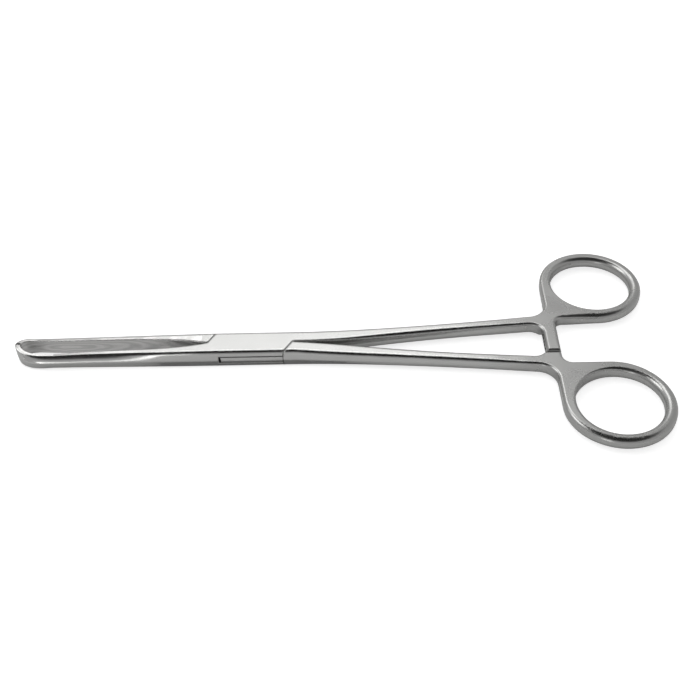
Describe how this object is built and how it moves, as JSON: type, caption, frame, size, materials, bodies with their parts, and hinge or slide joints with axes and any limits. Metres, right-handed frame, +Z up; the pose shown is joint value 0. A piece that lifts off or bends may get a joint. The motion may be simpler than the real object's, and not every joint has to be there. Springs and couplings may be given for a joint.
{
  "type": "tissue forceps",
  "caption": "Ring-handled tissue forceps with a box lock, a finger ratchet and toothed, hooked jaws that grip tissue at their tips.",
  "frame": {"origin": "where the pivot pin's axis meets the flat underside of the box lock", "axes": "+X from the lock towards the finger rings, +Y across the forceps, +Z up along the pivot pin"},
  "size_m": [0.2017, 0.0862, 0.0062],
  "materials": {
    "forged_steel": "satin stainless steel with fine brushing",
    "pin_steel": "satin stainless steel, riveted and ground flush"
  },
  "bodies": {
    "root": {"box_half": "forged_steel", "lock_pin": "pin_steel"},
    "tongue_side": {"tongue_half": "forged_steel"}
  },
  "joints": [
    {"name": "lock_pivot", "type": "hinge", "parent": "root", "child": "tongue_side", "pos_m": [0, 0, 0.0031], "axis": [0, 0, -1], "range_deg": [0, 50]}
  ]
}
